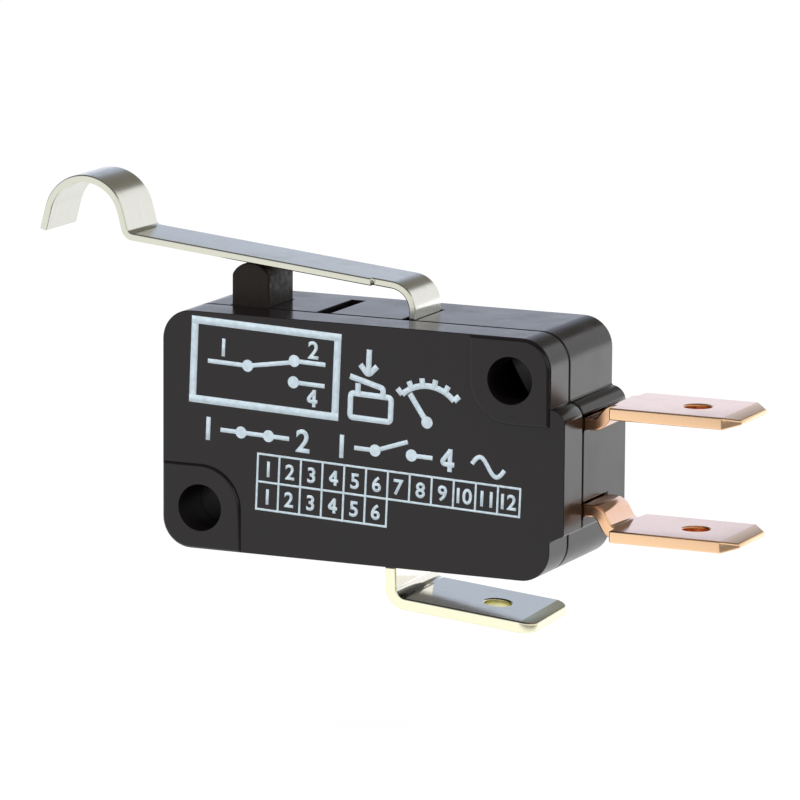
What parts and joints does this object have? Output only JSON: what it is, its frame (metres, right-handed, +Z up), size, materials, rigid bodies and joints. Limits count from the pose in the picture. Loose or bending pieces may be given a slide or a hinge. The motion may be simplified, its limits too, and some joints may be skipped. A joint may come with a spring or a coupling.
{
  "type": "micro switch",
  "caption": "Snap-action micro switch: dark moulded body with diagonal mounting holes, a folded lever with a rounded end over a plunger, and flat blade terminals.",
  "frame": {"origin": "axis of the lower mounting hole, halfway through the body's thickness without its pads", "axes": "+X along the body from the lever's free end to the side terminals, +Y from the cover to the back of the case, +Z up towards the lever"},
  "size_m": [0.0505, 0.0106, 0.0279],
  "materials": {
    "body_plastic": "fine satin moulding, near black",
    "plunger_plastic": "smooth dark brown-black moulding",
    "lever_steel": "bright rolled sheet with cut edges",
    "terminal_copper": "bare copper alloy, rolled faces and stamped edges",
    "terminal_plated": "pale plated brass with yellow stamped edges",
    "contact_silver": "silver contact metal",
    "spring_bronze": "rolled spring bronze",
    "rivet_steel": "plain rivet"
  },
  "bodies": {
    "housing": {"case": "body_plastic", "cover": "body_plastic", "common_terminal": "terminal_plated", "normally_closed_terminal": "terminal_copper", "normally_open_terminal": "terminal_copper", "normally_closed_contact": "contact_silver", "normally_open_contact": "contact_silver", "anchor_rivet": "rivet_steel"},
    "lever": {"lever": "lever_steel"},
    "plunger": {"plunger": "plunger_plastic"},
    "contact_arm": {"snap_blade": "spring_bronze", "moving_contact": "contact_silver"}
  },
  "joints": [
    {"name": "lever_swing", "type": "hinge", "parent": "housing", "child": "lever", "pos_m": [0.0137, 0, 0.0114], "axis": [0, -1, 0], "range_deg": [0, 10], "stiffness_Nm_per_rad": 0.08, "springref_deg": -4.58},
    {"name": "plunger_press", "type": "slide", "parent": "housing", "child": "plunger", "axis": [0, 0, -1], "range_m": [0, 0.0022]},
    {"name": "contact_snap", "type": "hinge", "parent": "housing", "child": "contact_arm", "pos_m": [0.00025, 0, 0.0057], "axis": [0, 1, 0], "range_deg": [0, 2.4], "deforming": ["snap_blade"]}
  ],
  "couplings": [
    {"joint": "plunger_press", "follows": "lever_swing", "m_per_rad": 0.011753},
    {"joint": "contact_snap", "follows": "lever_swing", "ratio": 0.22}
  ]
}
